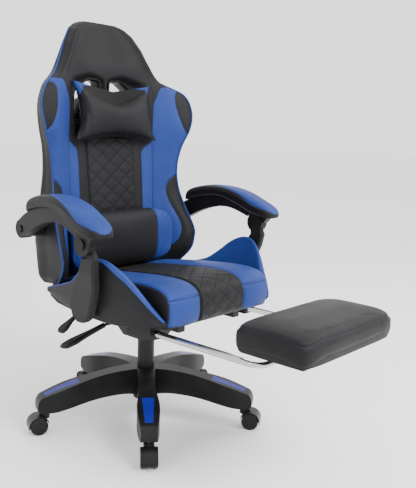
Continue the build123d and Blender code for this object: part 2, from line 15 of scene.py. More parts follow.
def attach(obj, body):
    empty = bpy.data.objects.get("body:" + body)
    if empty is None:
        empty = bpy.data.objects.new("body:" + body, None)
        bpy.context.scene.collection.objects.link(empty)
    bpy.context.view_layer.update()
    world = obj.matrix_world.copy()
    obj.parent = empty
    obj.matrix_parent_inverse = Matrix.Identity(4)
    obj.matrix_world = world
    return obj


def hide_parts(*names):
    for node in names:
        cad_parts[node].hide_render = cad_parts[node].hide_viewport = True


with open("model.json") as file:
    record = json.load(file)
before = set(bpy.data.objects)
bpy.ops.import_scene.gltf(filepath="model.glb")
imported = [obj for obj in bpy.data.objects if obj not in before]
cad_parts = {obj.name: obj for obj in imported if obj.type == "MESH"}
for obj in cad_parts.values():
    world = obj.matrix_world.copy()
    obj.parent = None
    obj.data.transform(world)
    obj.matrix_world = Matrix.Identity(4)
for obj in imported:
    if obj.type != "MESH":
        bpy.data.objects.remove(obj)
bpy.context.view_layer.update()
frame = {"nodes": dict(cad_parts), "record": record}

# %% [markdown]
# ## Helpers for surfaces
# Each upholstered surface is worked out as whole numpy arrays. A short table holds the measures that
# a pattern cutter would take, level by level, and a smooth curve through its rows fills in the rest.

# %% A smooth curve through the rows of a table
def through(rows, place):
    """Cubic Hermite curve through rows with centred slopes: place 0 is the first row, 1 the next."""
    rows = np.asarray(rows, float)
    place = np.clip(np.asarray(place, float), 0, len(rows) - 1)
    slope = np.gradient(rows, axis=0)
    low = np.minimum(place.astype(int), len(rows) - 2)
    t = (place - low).reshape(place.shape + (1,) * (rows.ndim - 1))
    a, b, ma, mb = rows[low], rows[low + 1], slope[low], slope[low + 1]
    start = (2 * t**3 - 3 * t**2 + 1) * a + (t**3 - 2 * t**2 + t) * ma
    return start + (3 * t**2 - 2 * t**3) * b + (t**3 - t**2) * mb


def at_level(levels, values, level):
    """The smooth curve through (levels, values), read at each level, for levels in rising order."""
    level = np.asarray(level, float)
    return through(values, np.interp(level, levels, np.arange(len(levels))))


def step(low, high, value):
    """0 below low, 1 above high, and a smooth S between them."""
    t = np.clip((value - low) / (high - low), 0, 1)
    return t * t * (3 - 2 * t)


def bell(value, width):
    """A bump of height 1 at value 0 that dies out over width."""
    return np.exp(-(value / width) ** 2)


print("helpers ready")

# %% A grid of points as a mesh
def surface(name, points, wrap=True, caps=True, extras=None):
    """Mesh of a grid of points: wrap joins the last column to the first, and caps close both ends."""
    rows, columns = points.shape[:2]
    grid = np.arange(rows * columns).reshape(rows, columns)
    right = np.roll(grid, -1, axis=1) if wrap else grid[:, 1:]
    left = grid if wrap else grid[:, :-1]
    quads = np.stack([left[:-1], right[:-1], right[1:], left[1:]], -1).reshape(-1, 4)
    verts = points.reshape(-1, 3)
    faces = quads.tolist()
    if caps:
        ends = np.array([points[0].mean(0), points[-1].mean(0)])
        verts = np.vstack([verts, ends])
        first, last = rows * columns, rows * columns + 1
        faces += np.stack([np.full(columns, first), np.roll(grid[0], -1), grid[0]], -1).tolist()
        faces += np.stack([np.full(columns, last), grid[-1], np.roll(grid[-1], -1)], -1).tolist()
    mesh = bpy.data.meshes.new(name)
    mesh.from_pydata(verts.tolist(), [], faces)
    for key, values in (extras or {}).items():
        flat = np.zeros(len(verts))
        flat[:rows * columns] = values.ravel()
        if caps:
            flat[-2:] = values[0].mean(), values[-1].mean()
        mesh.attributes.new(key, "FLOAT", "POINT").data.foreach_set("value", flat.astype(np.float32))
    mesh.shade_smooth()
    piece = bpy.data.objects.new(name, mesh)
    bpy.context.scene.collection.objects.link(piece)
    return piece


def outward(piece):
    """Turn all the faces of a closed piece outwards."""
    work = bmesh.new()
    work.from_mesh(piece.data)
    bmesh.ops.remove_doubles(work, verts=work.verts, dist=1e-6)
    bmesh.ops.recalc_face_normals(work, faces=work.faces)
    work.to_mesh(piece.data)
    work.free()
    return piece


def tube(name, path, radius, sides=10):
    """Round tube along path: each ring lies across the path's own direction there."""
    path = np.asarray(path, float)
    ahead = np.gradient(path, axis=0)
    ahead /= np.linalg.norm(ahead, axis=1, keepdims=True)
    side = np.cross(ahead, [0.31, 0.21, 0.93])
    side /= np.linalg.norm(side, axis=1, keepdims=True)
    up = np.cross(side, ahead)
    angle = np.linspace(0, 2 * np.pi, sides, endpoint=False)
    ring = np.cos(angle)[:, None, None] * side + np.sin(angle)[:, None, None] * up
    points = (path + np.asarray(radius) * ring).transpose(1, 0, 2)
    return outward(surface(name, points))


def place(piece, body, slot, *nodes):
    """Fix a piece to its body and hide the plain nodes it stands for; the slot argument is not used."""
    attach(piece, body)
    if nodes:
        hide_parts(*nodes)
    return piece


print("mesh makers ready")

# %% [markdown]
# ## Shader maths as plain Python
# A finish is a recipe of small sums: a grain, a seam line, a patch of the second colour. Wrapping a
# socket in a class lets those sums be written as Python, and each expression adds its own nodes.

# %% The recipe and value classes
class Value:
    """One number inside a finish. Sums of values add Math nodes."""

    def __init__(self, recipe, socket):
        self.recipe, self.socket = recipe, socket

    def math(self, operation, *others):
        return self.recipe.node("ShaderNodeMath", {"operation": operation}, dict(enumerate((self,) + others)))

    def __add__(self, other): return self.math("ADD", other)
    def __radd__(self, other): return self.math("ADD", other)
    def __sub__(self, other): return self.math("SUBTRACT", other)
    def __rsub__(self, other): return self.recipe.number("SUBTRACT", other, self)
    def __mul__(self, other): return self.math("MULTIPLY", other)
    def __rmul__(self, other): return self.math("MULTIPLY", other)
    def __truediv__(self, other): return self.math("DIVIDE", other)
    def __abs__(self): return self.math("ABSOLUTE")

    def spread(self, low, high, first, last):
        """Smooth S from first, where the value is low, to last, where it is high."""
        inputs = {"Value": self, "From Min": low, "From Max": high, "To Min": first, "To Max": last}
        return self.recipe.node("ShaderNodeMapRange", {"interpolation_type": "SMOOTHSTEP"}, inputs)

    def near(self, width):
        """1 where the value is 0, falling to 0 at width on both sides."""
        return abs(self).spread(0.0, width, 1.0, 0.0)

    def rise(self, low, high):
        """0 below low and 1 above high."""
        return self.spread(low, high, 0.0, 1.0)

    def to_line(self, spacing):
        """Signed distance to the nearest of a row of lines, spacing apart."""
        return ((self / spacing + 0.5).math("FLOORED_MODULO", 1.0) - 0.5) * spacing


class Finish:
    """A node material named for the stuff it is."""

    def __init__(self, name, **constants):
        self.material = bpy.data.materials.new(name)
        self.material.use_nodes = True
        self.tree = self.material.node_tree
        self.shader = self.tree.nodes["Principled BSDF"]
        for key, number in constants.items():
            self.shader.inputs[key.replace("_", " ")].default_value = number

    def node(self, kind, settings=None, inputs=None, out=0):
        """Any node: its settings first, then numbers or links for its sockets, and one output back."""
        made = self.tree.nodes.new(kind)
        for key, setting in (settings or {}).items():
            setattr(made, key, setting)
        for key, given in (inputs or {}).items():
            if isinstance(given, Value):
                self.tree.links.new(given.socket, made.inputs[key])
            else:
                made.inputs[key].default_value = given
        return Value(self, made.outputs[out])

    def number(self, operation, *numbers):
        return self.node("ShaderNodeMath", {"operation": operation}, dict(enumerate(numbers)))

    def here(self):
        """Object coordinates, in metres."""
        return self.node("ShaderNodeTexCoord", out="Object")

    def axes(self):
        """The x, y and z of here as three values."""
        split = self.node("ShaderNodeSeparateXYZ", {}, {0: self.here()})
        outputs = split.socket.node.outputs
        return [Value(self, outputs[axis]) for axis in range(3)]

    def marked(self, name):
        """A number stored on the mesh's points."""
        return self.node("ShaderNodeAttribute", {"attribute_name": name}, out="Fac")

    def noise(self, scale, detail=3.0, where=None):
        inputs = {"Vector": where or self.here(), "Scale": scale, "Detail": detail}
        return self.node("ShaderNodeTexNoise", {}, inputs)

    def cells(self, scale, feature="F1"):
        inputs = {"Vector": self.here(), "Scale": scale}
        return self.node("ShaderNodeTexVoronoi", {"feature": feature}, inputs, out="Distance")

    def mix(self, share, first, second):
        """Colour that goes from first to second as share goes from 0 to 1."""
        inputs = {0: share, 6: first, 7: second}
        return self.node("ShaderNodeMix", {"data_type": "RGBA"}, inputs, out=2)

    def finish(self, colour=None, roughness=None, bumps=(), coat=None):
        """Link what varies over the surface, with each bump given as (height, strength, depth in metres)."""
        pairs = {"Base Color": colour, "Roughness": roughness, "Coat Weight": coat}
        for key, value in pairs.items():
            if isinstance(value, Value):
                self.tree.links.new(value.socket, self.shader.inputs[key])
            elif value is not None:
                self.shader.inputs[key].default_value = value
        normal = None
        for height, strength, depth in bumps:
            inputs = {"Height": height, "Strength": strength, "Distance": depth}
            if normal:
                inputs["Normal"] = normal
            normal = self.node("ShaderNodeBump", {}, inputs)
        if normal:
            self.tree.links.new(normal.socket, self.shader.inputs["Normal"])
        return self.material


print("recipe classes ready")

# %% [markdown]
# ## Artificial leather
# The covers are a knitted cloth with a thin grained skin. The grain is a net of fine creases round
# little pads, a millimetre or so across, and larger soft ripples come from the foam below. One recipe
# makes both colours, and reads where the second colour lies from a distance stored on the mesh:
# positive inside the patch, so its edge stays sharp on any mesh. A seam is a thin dark valley.

# %% Leather recipe
BLACK = (0.0044, 0.0044, 0.0047, 1)
BLACK_WORN = (0.0115, 0.0115, 0.0121, 1)
BLUE = (0.0105, 0.031, 0.178, 1)
BLUE_LIGHT = (0.020, 0.054, 0.255, 1)
SEAM_WIDTH = 0.0016


def leather(name, patch=False, plain="black", quilt=None):
    """Grained leather. patch reads the stored colour distance, and quilt adds diamond stitching."""
    made = Finish(name, Specular_IOR_Level=0.16, Sheen_Weight=0.01, Sheen_Roughness=0.5)
    grain = made.cells(950.0, "DISTANCE_TO_EDGE").rise(0.0, 0.22)
    ripple = made.noise(16.0, 4.0)
    cloud = made.noise(5.5, 2.0)
    black = made.mix(cloud.rise(0.35, 0.75) * 0.6 + ripple.rise(0.45, 0.8) * 0.3, BLACK, BLACK_WORN)
    blue = made.mix(cloud.rise(0.3, 0.75) * 0.7 + ripple.rise(0.45, 0.8) * 0.3, BLUE, BLUE_LIGHT)
    colour = blue if plain == "blue" else black
    bumps = [(grain, 0.28, 0.00035), (ripple, 0.22, 0.004)]
    roughness = 0.44 + ripple * 0.12 - cloud * 0.05 + (1 - grain) * 0.08
    if patch:
        edge = made.marked("patch")
        colour = made.mix(edge.rise(-0.0004, 0.0004), black, blue)
        seam = edge.near(SEAM_WIDTH).math("MAXIMUM", made.marked("seam").near(SEAM_WIDTH))
        colour = made.mix(seam * 0.75, colour, (0.012, 0.012, 0.018, 1))
        bumps.append((1 - seam, 0.7, 0.0012))
    if quilt:
        colour, bumps = quilt(made, colour, bumps)
    return made.finish(made.mix((1 - grain) * 0.35, colour, (0.01, 0.01, 0.014, 1)), roughness, bumps)


black_leather = leather("black grained leather")
blue_leather = leather("blue grained leather", plain="blue")
panel_leather = leather("two-colour leather", patch=True)
print("leathers:", black_leather.name, blue_leather.name, panel_leather.name)

# %% [markdown]
# ## Diamond quilting
# The middle of the back and of the seat is stitched in slanting lines over thin foam. The lines are
# straight on the flat pattern, so two slanting coordinates give the distance to the nearest line
# everywhere. The mesh gets the soft swell between the lines, and the finish gets the thread and its
# sharp little valley, which no mesh of a sensible size could hold.

# %% Quilting sums for mesh and finish
QUILT_PITCH = 0.046
QUILT_RATIO = 0.80


def quilt_swell(across, along):
    """Height 0 on the stitch lines and near 1 between them."""
    first = (across * QUILT_RATIO + along) / QUILT_PITCH
    second = (across * QUILT_RATIO - along) / QUILT_PITCH
    low = np.minimum(np.abs((first + 0.5) % 1 - 0.5), np.abs((second + 0.5) % 1 - 0.5))
    return np.sqrt(np.clip(low * 2, 0, 1))


print("quilting ready")

# %% [markdown]
# ## The backrest shell
# A racing-style back is a steel ladder inside moulded foam: side bolsters stand forward round the ribs
# and the shoulders, the waist is narrow, and the head end is pierced for pillow straps. It could be
# sculpted, but level-by-level measures give the same shape as numbers that can be read and changed.
# Each level is a closed ring: a front curve from edge to edge and a rear curve back again, meeting at
# a corner where the piping is sewn.

# %% Measures of the shell, level by level, in metres
# Each row: level, y of the front's middle, then x and y of the recess, the crest, the edge and the
# rear corner, and y of the rear's middle.
SHELL = np.array([
    (408, 150, 150, 150, 182, 152, 204, 158, 212, 190, 200),
    (424, 148, 160, 146, 200, 136, 219, 134, 226, 198, 213),
    (440, 146, 165, 140, 212, 112, 236, 100, 234, 205, 222),
    (483, 149, 165, 142, 225, 80, 251, 64, 238, 208, 226),
    (518, 151, 165, 145, 232, 72, 260, 58, 240, 209, 226),
    (550, 152, 162, 146, 236, 76, 264, 63, 243, 208, 226),
    (611, 157, 160, 148, 228, 100, 255, 93, 236, 206, 222),
    (674, 163, 158, 150, 215, 124, 244, 117, 229, 199, 215),
    (741, 171, 158, 152, 208, 132, 241, 125, 225, 192, 213),
    (806, 179, 160, 155, 212, 126, 253, 119, 233, 182, 220),
    (870, 184, 160, 156, 228, 110, 278, 104, 250, 172, 228),
    (925, 187, 162, 153, 232, 111, 286, 107, 256, 165, 232),
    (975, 189, 162, 155, 221, 124, 262, 122, 239, 168, 236),
    (1015, 191, 150, 166, 181, 157, 194, 178, 184, 204, 240),
    (1060, 196, 130, 176, 151, 168, 162, 198, 156, 214, 243),
    (1105, 204, 108, 188, 128, 180, 139, 210, 131, 222, 247),
    (1143, 214, 84, 203, 104, 196, 113, 223, 106, 229, 249),
    (1161, 221, 66, 213, 83, 209, 91, 230, 84, 233, 247),
    (1171, 228, 44, 223, 58, 221, 63, 234, 58, 236, 243),
    (1174, 234, 8, 232, 9, 232, 10, 235, 9, 236, 238),
]) / 1000
SHELL_LEVELS, CENTRE_Y, REAR_Y = SHELL[:, 0], SHELL[:, 1], SHELL[:, 10]
RECESS, CREST, EDGE, REAR = (SHELL[:, first:first + 2] for first in (2, 4, 6, 8))
QUILT_HALF, PANEL_HALF, SEAM_X = 0.090, 0.122, 0.160
QUILT_LOW, QUILT_HIGH = 0.600, 0.842

# %% Where the back's second colour lies
INNER_TOP = 0.785
SHOULDER = ([0.838, 0.847, 0.868, 0.900, 0.933, 0.960, 0.976, 0.984, 0.992],
            [0.300, 0.276, 0.253, 0.236, 0.227, 0.225, 0.229, 0.244, 0.300])
LOW_BAND = ([0.400, 0.462, 0.478, 0.500, 0.518, 0.550, 0.580,
             0.611, 0.640, 0.670, 0.695, 0.710, 0.722, 0.740],
            [0.130, 0.160, 0.186, 0.209, 0.221, 0.229, 0.226,
             0.216, 0.206, 0.201, 0.208, 0.222, 0.247, 0.300])
SHOULDER_TOP = 0.996


def back_colour(x, z):
    """Distance inside the blue: bolster or inner panel, less the shoulder patch and the low outer band."""
    x = np.abs(x)
    inside = x - SEAM_X - 0.02 * step(0.93, 0.995, z)
    corner = np.hypot(np.clip(0.014 - inside, 0, 1), np.clip(z - SHOULDER_TOP + 0.014, 0, 1))
    bolster = np.minimum(np.minimum(inside, SHOULDER_TOP - z), np.where(corner > 0, 0.014 - corner, 1))
    rounded_top = INNER_TOP + 0.04 * np.sqrt(np.clip((x - PANEL_HALF) / (SEAM_X - PANEL_HALF), 0, 1)) - z
    inner = np.minimum(np.minimum(x - PANEL_HALF, rounded_top), 0.162 - x)
    shoulder = at_level(*map(np.array, SHOULDER), z) - x
    band = at_level(*map(np.array, LOW_BAND), z) - x
    return np.minimum(np.maximum(bolster, inner), np.minimum(shoulder, band))


# %% The shell's rings
def back_front(level):
    """Control points of the front curve at each level, from the right edge over the middle to the left."""
    middle = at_level(SHELL_LEVELS, CENTRE_Y[:, None], level)[..., 0]
    recess, crest, edge = (at_level(SHELL_LEVELS, table, level) for table in (RECESS, CREST, EDGE))
    quilt_x = np.minimum(QUILT_HALF, 0.55 * recess[:, 0])
    panel_x = np.minimum(PANEL_HALF, 0.76 * recess[:, 0])
    quilt = np.stack([quilt_x, middle + 0.2 * (recess[:, 1] - middle)], -1)
    panel = np.stack([panel_x, middle + 0.5 * (recess[:, 1] - middle)], -1)
    centre = np.stack([middle * 0, middle], -1)
    half = [quilt, panel, recess, crest, edge]
    other = [side * [-1, 1] for side in half[::-1]]
    return np.stack(other + [centre] + half)


def back_rear(level):
    """Control points of the rear curve, from the left edge round to the right one."""
    edge, rear = at_level(SHELL_LEVELS, EDGE, level), at_level(SHELL_LEVELS, REAR, level)
    flat = at_level(SHELL_LEVELS, REAR_Y[:, None], level)[..., 0]
    side = 0.5 * (edge + rear) + [0.004, 0]
    pad = np.stack([rear[:, 0] * 0.62, flat], -1)
    centre = np.stack([flat * 0, flat], -1)
    half = [edge, side, rear, pad]
    return np.stack(half + [centre] + [point * [-1, 1] for point in half[::-1]])


half_run = np.concatenate([np.linspace(0, 1, 56)[:-1], np.linspace(1, 2, 9)[:-1], np.linspace(2, 3, 11)[:-1],
                           np.linspace(3, 4, 13)[:-1], np.linspace(4, 5, 15)])
front_run = 5 + np.concatenate([-half_run[:0:-1], half_run])
rear_run = np.linspace(0, 8, 90)[1:-1]
SHELL_LOW, HEAD_TURN, SHELL_TOP = 0.406, 1.143, 1.1740
crown = SHELL_TOP - (SHELL_TOP - HEAD_TURN) * np.linspace(1, 0, 20) ** 2
level = np.concatenate([
    np.linspace(SHELL_LOW, QUILT_LOW, 46)[:-1],
    np.linspace(QUILT_LOW, QUILT_HIGH, 118)[:-1],
    np.linspace(QUILT_HIGH, HEAD_TURN, 70)[:-1],
    crown,
])
front = through(back_front(level), front_run).transpose(1, 0, 2)
rear = through(back_rear(level), rear_run).transpose(1, 0, 2)
print("shell rings:", front.shape, rear.shape)

# %% Padding, seams and the strap recess on the front
x, z = front[..., 0], np.repeat(level[:, None], front.shape[1], 1)
ax = np.abs(x)
on_quilt = step(0, 0.006, QUILT_HALF - ax) * step(0, 0.01, z - QUILT_LOW) * step(0, 0.01, QUILT_HIGH - z)
puff = 0.0018 * quilt_swell(x, z - 0.72) * on_quilt + 0.004 * on_quilt
valleys = 0.003 * bell(ax - QUILT_HALF, 0.003) + 0.0035 * bell(ax - PANEL_HALF, 0.004)
valleys = valleys + 0.003 * bell(ax - SEAM_X, 0.004)
valleys = valleys * (1 - step(0.84, 0.88, z))
colour = back_colour(x, z)
valleys = valleys + 0.0025 * bell(colour, 0.004) * step(0.165, 0.18, ax)
arch = 0.996 + 0.016 * bell(ax - 0.060, 0.045)
in_recess = (1 - step(0.108, 0.150, ax)) * (1 - step(-0.010, 0.014, z - arch)) * step(0.84, 0.88, z)
brow = (1 - step(0.08, 0.15, ax)) * bell(z - 1.045, 0.034)
ridge = bell(x, 0.010) * step(0.93, 0.95, z) * (1 - step(1.0, 1.03, z))
front[..., 1] += valleys - puff + 0.017 * in_recess - 0.006 * brow - 0.016 * ridge * in_recess
bottom = np.sqrt(np.clip(1 - (1 - np.clip((level - 0.4045) / 0.014, 0, 1)) ** 2, 0, 1))
ring = np.concatenate([front, rear], 1)
heart = np.array([0, 0.168])
ring = heart + (ring - heart) * bottom[:, None, None]
points = np.concatenate([ring, np.repeat(level[:, None], ring.shape[1], 1)[..., None]], -1)

# %% Colour and seam distances, and the finished skin
seam_x = at_level(SHELL_LEVELS, np.where(SHELL_LEVELS > 0.98, RECESS[:, 0], SEAM_X)[:, None], level)
patch = np.full(ring.shape[:2], -0.05)
patch[:, :front.shape[1]] = colour
for end in (0, front.shape[1] - 1):
    patch[:, end] = np.minimum(colour[:, end], 0.001)
seam = np.abs(ring[..., 0]) - 0.6 * at_level(SHELL_LEVELS, REAR[:, :1], level)
seam[:, :front.shape[1]] = np.abs(x) - seam_x
facing = np.zeros(ring.shape[:2])
facing[:, :front.shape[1]] = 1
back = outward(surface("backrest_cover", points, extras={"patch": patch, "seam": seam, "facing": facing}))
print("backrest cover:", len(back.data.polygons), "faces")

# %% [markdown]
# ## Strap openings
# Two leaf-shaped openings go right through the head end, each lined by a moulded frame with a rounded
# lip. The skin is cut with a Boolean, because the hole's outline does not follow the rings, and the
# frame is a small profile carried round the outline, which hides the cut edge.

# %% Openings and their frames
OPENING = np.array([
    (17, 962), (20, 1001), (62, 1004), (112, 968), (134, 925), (126, 902), (104, 906), (80, 950),
]) / 1000


def rounded(corners, times=4):
    """Closed outline with its corners cut again and again, a seventh along each side."""
    for _ in range(times):
        ahead = np.roll(corners, -1, 0)
        corners = np.stack([0.86 * corners + 0.14 * ahead, 0.14 * corners + 0.86 * ahead], 1).reshape(-1, 2)
    return corners


def opening_frame(name, side):
    """Lip profile (inset, depth) carried round the opening's outline."""
    outline = rounded(OPENING) * [side, 1]
    ahead = np.roll(outline, -1, 0) - np.roll(outline, 1, 0)
    out = np.stack([ahead[:, 1], -ahead[:, 0]], -1) / np.linalg.norm(ahead, axis=1, keepdims=True)
    if np.sum((outline - outline.mean(0)) * out) < 0:
        out = -out
    profile = np.array([
        (0.007, 0.212), (0.0065, 0.199), (0.004, 0.1955), (0.001, 0.196), (-0.0015, 0.200), (-0.002, 0.212),
        (-0.002, 0.232), (-0.001, 0.240), (0.003, 0.2435), (0.007, 0.241), (0.0075, 0.228),
    ])
    spread = outline[:, None] + out[:, None] * profile[None, :, :1]
    grid = np.stack([spread[..., 0], np.broadcast_to(profile[:, 1], spread.shape[:2]), spread[..., 1]], -1)
    grid = np.concatenate([grid, grid[:1]])
    return outward(surface(name, grid, caps=False))


def opening_cutter(side):
    """Closed prism a little inside the frame's outer edge."""
    outline = rounded(OPENING) * [side, 1]
    grid = np.stack([np.insert(outline, 1, depth, axis=1) for depth in (0.10, 0.32)])
    return outward(surface("cutter", grid))


def cut(piece, cutter):
    """Take the cutter's shape out of the piece for good."""
    change = piece.modifiers.new("cut", "BOOLEAN")
    change.object, change.operation, change.solver = cutter, "DIFFERENCE", "EXACT"
    settle(piece)
    bpy.data.objects.remove(cutter)


def settle(piece):
    """Replace the piece's mesh with what its modifiers make of it."""
    view = bpy.context.evaluated_depsgraph_get()
    view.update()
    changed = piece.evaluated_get(view)
    made = bpy.data.meshes.new_from_object(changed, preserve_all_data_layers=True, depsgraph=view)
    piece.modifiers.clear()
    piece.data = made


strap_frames = []
for side, word in ((-1, "right"), (1, "left")):
    cut(back, opening_cutter(side))
    frame_piece = opening_frame(f"strap_opening_{word}", side)
    place(frame_piece, "backrest", "black_plastic")
    strap_frames.append(frame_piece)
print("openings cut:", len(back.data.polygons), "faces")

# %% Sew the cover's finish and its piping
def facing_quilt(made, colour, bumps):
    """Back quilting, kept to the front face, with a seam at the panel's border."""
    axes = made.axes()
    front_only = made.marked("facing").rise(0.4, 0.6)
    inside = (QUILT_HALF - abs(axes[0])).rise(0.0, 0.001) * front_only
    rows = (axes[2] - QUILT_LOW).rise(0.0, 0.001) * (QUILT_HIGH - axes[2]).rise(0.0, 0.001)
    first = (axes[0] * QUILT_RATIO + (axes[2] - 0.72)).to_line(QUILT_PITCH).near(0.0012)
    second = (axes[0] * QUILT_RATIO - (axes[2] - 0.72)).to_line(QUILT_PITCH).near(0.0012)
    border = (abs(axes[0]) - QUILT_HALF).near(0.0015) * front_only * rows
    thread = (first.math("MAXIMUM", second) * inside * rows).math("MAXIMUM", border)
    colour = made.mix(thread * 0.8, colour, (0.006, 0.006, 0.008, 1))
    return colour, bumps + [(1 - thread, 0.8, 0.0015)]


back_leather = leather("back cover leather", patch=True, quilt=facing_quilt)
back.data.materials.clear()
back.data.materials.append(back_leather)
place(back, "backrest", "black_leather", "back_shell")
rim_level = np.linspace(0.412, 1.150, 150)
rim = at_level(SHELL_LEVELS, EDGE, rim_level)
for side, word in ((-1, "right"), (1, "left")):
    rim_line = np.column_stack([side * rim[:, 0], rim[:, 1], rim_level])
    piping = tube(f"backrest_piping_{word}", rim_line, 0.0027)
    piping.data.materials.append(blue_leather)
    place(piping, "backrest", "blue_leather")
print("backrest piping:", len(piping.data.polygons), "faces")

# %% [markdown]
# ## The seat cushion
# The cushion is one foam block with a waterfall front, so its shape is a side profile carried across
# the width. Two smooth blue stripes flank a quilted middle, and a welt seam runs round the front edge.
# The flat sides stay black, where the wings rise beside them.

# %% Cushion profile and width
SEAT_HALF = 0.197
SEAT_TOP = np.array([
    (0.138, 0.430), (0.118, 0.438), (0.090, 0.448), (0.010, 0.460), (-0.095, 0.470), (-0.170, 0.4755),
    (-0.236, 0.4755), (-0.273, 0.467), (-0.293, 0.450), (-0.299, 0.425), (-0.297, 0.392),
    (-0.287, 0.3765),
])
STRIPE_X = 0.087
SEAT_SEAM_Z = 0.447


def seat_rows(count):
    """Side-to-side places, packed closer in the quilted middle."""
    middle = np.linspace(-STRIPE_X, STRIPE_X, count)
    edge = np.linspace(STRIPE_X, SEAT_HALF, 34)[1:]
    return np.concatenate([-edge[::-1], middle, edge])


def seat_ring(run):
    """Points (y, z) of the closed side profile: the shaped top and front, then straight back underneath."""
    shaped = through(SEAT_TOP, run)
    under = np.stack([np.linspace(-0.284, 0.138, 12), np.full(12, 0.3722)], -1)
    rear = np.stack([np.full(6, 0.138), np.linspace(0.382, 0.424, 6)], -1)
    return np.concatenate([shaped, under, rear])


across = seat_rows(118)
ring = seat_ring(np.linspace(0, 11, 300))
x = np.repeat(across[:, None], len(ring), 1)
y, z = (np.repeat(ring[None, :, axis], len(across), 0) for axis in (0, 1))
ahead = np.roll(ring, -1, 0) - np.roll(ring, 1, 0)
out = np.stack([ahead[:, 1], -ahead[:, 0]], -1) / np.linalg.norm(ahead, axis=1, keepdims=True)
out = out if out[60, 1] > 0 else -out
along = np.concatenate([[0], np.cumsum(np.linalg.norm(np.diff(ring, axis=0), axis=1))])
on_top = (np.arange(len(ring)) < 292)[None]
ax = np.abs(x)
quilt_here = step(0, 0.005, STRIPE_X - 0.002 - ax) * on_top
lift = 0.0020 * quilt_swell(x, along[None] * np.ones_like(x)) * quilt_here + 0.002 * quilt_here
stripe = np.clip((ax - STRIPE_X) / (SEAT_HALF - STRIPE_X), 0, 1)
lift = lift + 0.007 * np.sin(np.pi * stripe ** 0.8) * on_top * (ax > STRIPE_X)
lift = lift - 0.003 * bell(ax - STRIPE_X, 0.003) * on_top
front_seam = bell(z - SEAT_SEAM_Z, 0.003) * (y < -0.27)
lift = lift - 0.0022 * front_seam * (ax > STRIPE_X)
to_edge = SEAT_HALF - ax
quarter = np.sqrt(np.clip(1 - (1 - to_edge / 0.010) ** 2, 0, 1))
edge_round = 0.009 * (1 - quarter) * (to_edge < 0.010)
lift = lift - edge_round * on_top
y, z = y + lift * out[None, :, 0], z + lift * out[None, :, 1]
points = np.stack([x, y, z], -1)
patch = np.minimum(ax - STRIPE_X, SEAT_HALF - 0.0015 - ax) * np.where(on_top, 1, 0) - 0.02 * (1 - on_top)
seam = np.where(ax > STRIPE_X + 0.001, z - SEAT_SEAM_Z, 0.05) + 0.05 * (y > -0.27)
seat_run = np.repeat(along[None], len(across), 0)
cushion = outward(surface("seat_cover", points, extras={"patch": patch, "seam": seam, "run": seat_run}))


def seat_quilt(made, colour, bumps):
    """Seat quilting, with its rows measured along the cover from the rear edge and over the front."""
    across, run = made.axes()[0], made.marked("run")
    inside = (STRIPE_X - 0.002 - abs(across)).rise(0.0, 0.001) * (along[291] - run).rise(0.0, 0.001)
    first = (across * QUILT_RATIO + run).to_line(QUILT_PITCH).near(0.0012)
    second = (across * QUILT_RATIO - run).to_line(QUILT_PITCH).near(0.0012)
    thread = first.math("MAXIMUM", second) * inside
    colour = made.mix(thread * 0.8, colour, (0.006, 0.006, 0.008, 1))
    return colour, bumps + [(1 - thread, 0.8, 0.0015)]


cushion.data.materials.append(leather("seat cover leather", patch=True, quilt=seat_quilt))
place(cushion, "seat", "black_leather", "seat_cushion")
print("seat cover:", len(cushion.data.polygons), "faces")

# %% [markdown]
# ## Seat wings
# Beside each thigh a thin padded wing rises from a narrow nose to a peak and falls away again. Its
# section leans outwards. The outside is black and the inside blue, joined by piping on the top edge.

# %% Wing sections from nose to tail
WING = np.array([
    (-291, 209, 397, 207, 387, 8), (-284, 216, 406, 212, 384, 13), (-266, 231, 431, 219, 380, 21),
    (-241, 247, 464, 230, 375, 27), (-213, 265, 501, 238, 371, 32), (-190, 278, 522, 243, 368, 35),
    (-165, 288, 537, 247, 365, 36), (-140, 293, 541, 250, 363, 36), (-110, 293, 536, 252, 362, 36),
    (-75, 289, 518, 255, 364, 35), (-40, 280, 489, 257, 367, 33), (0, 270, 461, 258, 372, 32),
    (45, 261, 445, 255, 378, 30), (95, 251, 429, 249, 386, 26), (140, 241, 416, 240, 393, 20),
    (165, 237, 409, 236, 398, 10),
]) / 1000


def wing_rings(run):
    """Closed section at each place: up the outside, over the rounded top and down the inside."""
    y, top_x, top_z, low_x, low_z, thick = through(WING, run).T
    lean, rise = top_x - low_x, top_z - low_z
    lip = np.minimum(0.35 * thick, 0.010)
    waist = low_x + 0.60 * lean + 0.004
    inner = np.maximum(SEAT_HALF + 0.002, waist - thick)
    base = np.maximum(SEAT_HALF + 0.0015, low_x - thick)
    corners = [
        (base, low_z + 0.003), (low_x - 0.3 * thick, low_z), (low_x, low_z + 0.12 * rise),
        (waist, low_z + 0.5 * rise), (top_x + 0.001, low_z + 0.9 * rise), (top_x - 0.15 * lip, top_z),
        (top_x - lip, top_z - 0.001), (top_x - 1.9 * lip, low_z + 0.86 * rise),
        (inner, low_z + 0.45 * rise), (base, low_z + 0.18 * rise),
    ]
    return y, np.stack([np.stack(corner, -1) for corner in corners])


